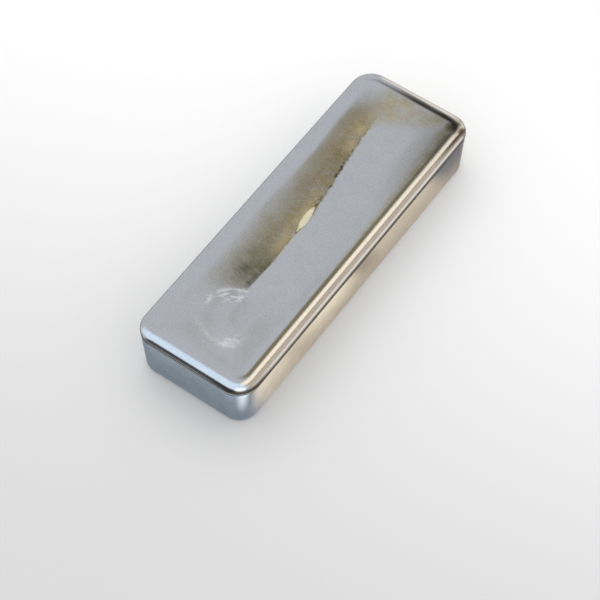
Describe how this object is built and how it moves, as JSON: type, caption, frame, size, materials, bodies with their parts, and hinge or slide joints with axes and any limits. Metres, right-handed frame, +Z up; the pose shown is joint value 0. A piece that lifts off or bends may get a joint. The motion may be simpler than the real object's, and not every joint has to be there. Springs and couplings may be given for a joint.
{
  "type": "indium ingot",
  "caption": "Cast metal bar with drafted sides, round corners, a rounded shoulder and a shallow shrinkage dish along its top.",
  "frame": {"origin": "middle of the flat base that the ingot rests on", "axes": "+Z up, +Y along the length of the bar, +X across its width"},
  "size_m": [0.0472, 0.14, 0.0221],
  "materials": {
    "indium": "bright as-cast metal, satin to mirror smooth"
  },
  "bodies": {
    "root": {"ingot": "indium"}
  },
  "joints": []
}
